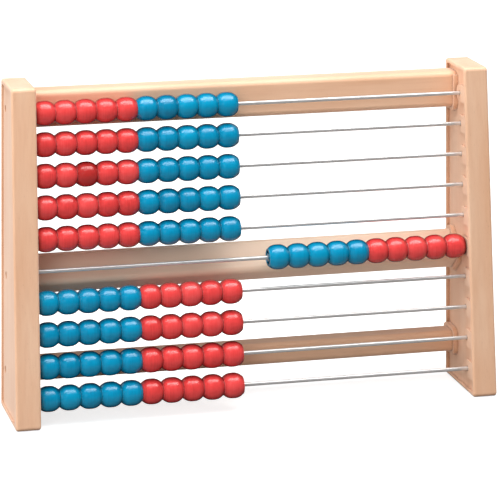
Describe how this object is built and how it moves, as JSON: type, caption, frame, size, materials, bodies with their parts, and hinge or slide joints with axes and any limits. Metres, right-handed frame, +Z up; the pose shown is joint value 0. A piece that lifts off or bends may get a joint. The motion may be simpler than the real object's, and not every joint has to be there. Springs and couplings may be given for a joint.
{
  "type": "abacus",
  "caption": "Freestanding counting frame: coloured beads slide on steel rods held between two moulded side frames joined by crossbars.",
  "frame": {"origin": "on the table, at the middle of the frame's width and depth", "axes": "+X along the rods, from the left side frame to the right one as the user sees them; +Y to the back, away from the user; +Z up"},
  "size_m": [0.324, 0.0546, 0.2144],
  "materials": {
    "frame_composite": "satin beige wood-fibre moulding, faint flow streaks",
    "red_bead_plastic": "glossy moulded plastic",
    "blue_bead_plastic": "glossy moulded plastic",
    "rod_steel": "bright drawn steel wire",
    "screw_steel": "dark zinc-plated steel"
  },
  "bodies": {
    "frame": {"left_side_frame": "frame_composite", "right_side_frame": "frame_composite", "top_crossbar": "frame_composite", "middle_crossbar": "frame_composite", "lower_crossbar": "frame_composite", "rod_1": "rod_steel", "rod_2": "rod_steel", "rod_3": "rod_steel", "rod_4": "rod_steel", "rod_5": "rod_steel", "rod_6": "rod_steel", "rod_7": "rod_steel", "rod_8": "rod_steel", "rod_9": "rod_steel", "rod_10": "rod_steel", "frame_screws": "screw_steel"},
    "row_1_red": {"row_1_red_beads": "red_bead_plastic"},
    "row_1_blue": {"row_1_blue_beads": "blue_bead_plastic"},
    "row_2_red": {"row_2_red_beads": "red_bead_plastic"},
    "row_2_blue": {"row_2_blue_beads": "blue_bead_plastic"},
    "row_3_red": {"row_3_red_beads": "red_bead_plastic"},
    "row_3_blue": {"row_3_blue_beads": "blue_bead_plastic"},
    "row_4_red": {"row_4_red_beads": "red_bead_plastic"},
    "row_4_blue": {"row_4_blue_beads": "blue_bead_plastic"},
    "row_5_red": {"row_5_red_beads": "red_bead_plastic"},
    "row_5_blue": {"row_5_blue_beads": "blue_bead_plastic"},
    "row_6_red": {"row_6_red_beads": "red_bead_plastic"},
    "row_6_blue": {"row_6_blue_beads": "blue_bead_plastic"},
    "row_7_blue": {"row_7_blue_beads": "blue_bead_plastic"},
    "row_7_red": {"row_7_red_beads": "red_bead_plastic"},
    "row_8_blue": {"row_8_blue_beads": "blue_bead_plastic"},
    "row_8_red": {"row_8_red_beads": "red_bead_plastic"},
    "row_9_blue": {"row_9_blue_beads": "blue_bead_plastic"},
    "row_9_red": {"row_9_red_beads": "red_bead_plastic"},
    "row_10_blue": {"row_10_blue_beads": "blue_bead_plastic"},
    "row_10_red": {"row_10_red_beads": "red_bead_plastic"}
  },
  "joints": [
    {"name": "row_1_red_slide", "type": "slide", "parent": "frame", "child": "row_1_red", "axis": [1, 0, 0], "range_m": [0, 0.0774]},
    {"name": "row_1_blue_slide", "type": "slide", "parent": "row_1_red", "child": "row_1_blue", "axis": [1, 0, 0], "range_m": [0, 0.0774]},
    {"name": "row_2_red_slide", "type": "slide", "parent": "frame", "child": "row_2_red", "axis": [1, 0, 0], "range_m": [0, 0.0774]},
    {"name": "row_2_blue_slide", "type": "slide", "parent": "row_2_red", "child": "row_2_blue", "axis": [1, 0, 0], "range_m": [0, 0.0774]},
    {"name": "row_3_red_slide", "type": "slide", "parent": "frame", "child": "row_3_red", "axis": [1, 0, 0], "range_m": [0, 0.0774]},
    {"name": "row_3_blue_slide", "type": "slide", "parent": "row_3_red", "child": "row_3_blue", "axis": [1, 0, 0], "range_m": [0, 0.0774]},
    {"name": "row_4_red_slide", "type": "slide", "parent": "frame", "child": "row_4_red", "axis": [1, 0, 0], "range_m": [0, 0.0774]},
    {"name": "row_4_blue_slide", "type": "slide", "parent": "row_4_red", "child": "row_4_blue", "axis": [1, 0, 0], "range_m": [0, 0.0774]},
    {"name": "row_5_red_slide", "type": "slide", "parent": "frame", "child": "row_5_red", "axis": [1, 0, 0], "range_m": [0, 0.0774]},
    {"name": "row_5_blue_slide", "type": "slide", "parent": "row_5_red", "child": "row_5_blue", "axis": [1, 0, 0], "range_m": [0, 0.0774]},
    {"name": "row_6_red_slide", "type": "slide", "parent": "frame", "child": "row_6_red", "axis": [1, 0, 0], "range_m": [-0.0774, 0]},
    {"name": "row_6_blue_slide", "type": "slide", "parent": "row_6_red", "child": "row_6_blue", "axis": [1, 0, 0], "range_m": [-0.0774, 0]},
    {"name": "row_7_blue_slide", "type": "slide", "parent": "frame", "child": "row_7_blue", "axis": [1, 0, 0], "range_m": [0, 0.0774]},
    {"name": "row_7_red_slide", "type": "slide", "parent": "row_7_blue", "child": "row_7_red", "axis": [1, 0, 0], "range_m": [0, 0.0774]},
    {"name": "row_8_blue_slide", "type": "slide", "parent": "frame", "child": "row_8_blue", "axis": [1, 0, 0], "range_m": [0, 0.0774]},
    {"name": "row_8_red_slide", "type": "slide", "parent": "row_8_blue", "child": "row_8_red", "axis": [1, 0, 0], "range_m": [0, 0.0774]},
    {"name": "row_9_blue_slide", "type": "slide", "parent": "frame", "child": "row_9_blue", "axis": [1, 0, 0], "range_m": [0, 0.0774]},
    {"name": "row_9_red_slide", "type": "slide", "parent": "row_9_blue", "child": "row_9_red", "axis": [1, 0, 0], "range_m": [0, 0.0774]},
    {"name": "row_10_blue_slide", "type": "slide", "parent": "frame", "child": "row_10_blue", "axis": [1, 0, 0], "range_m": [0, 0.0774]},
    {"name": "row_10_red_slide", "type": "slide", "parent": "row_10_blue", "child": "row_10_red", "axis": [1, 0, 0], "range_m": [0, 0.0774]}
  ]
}
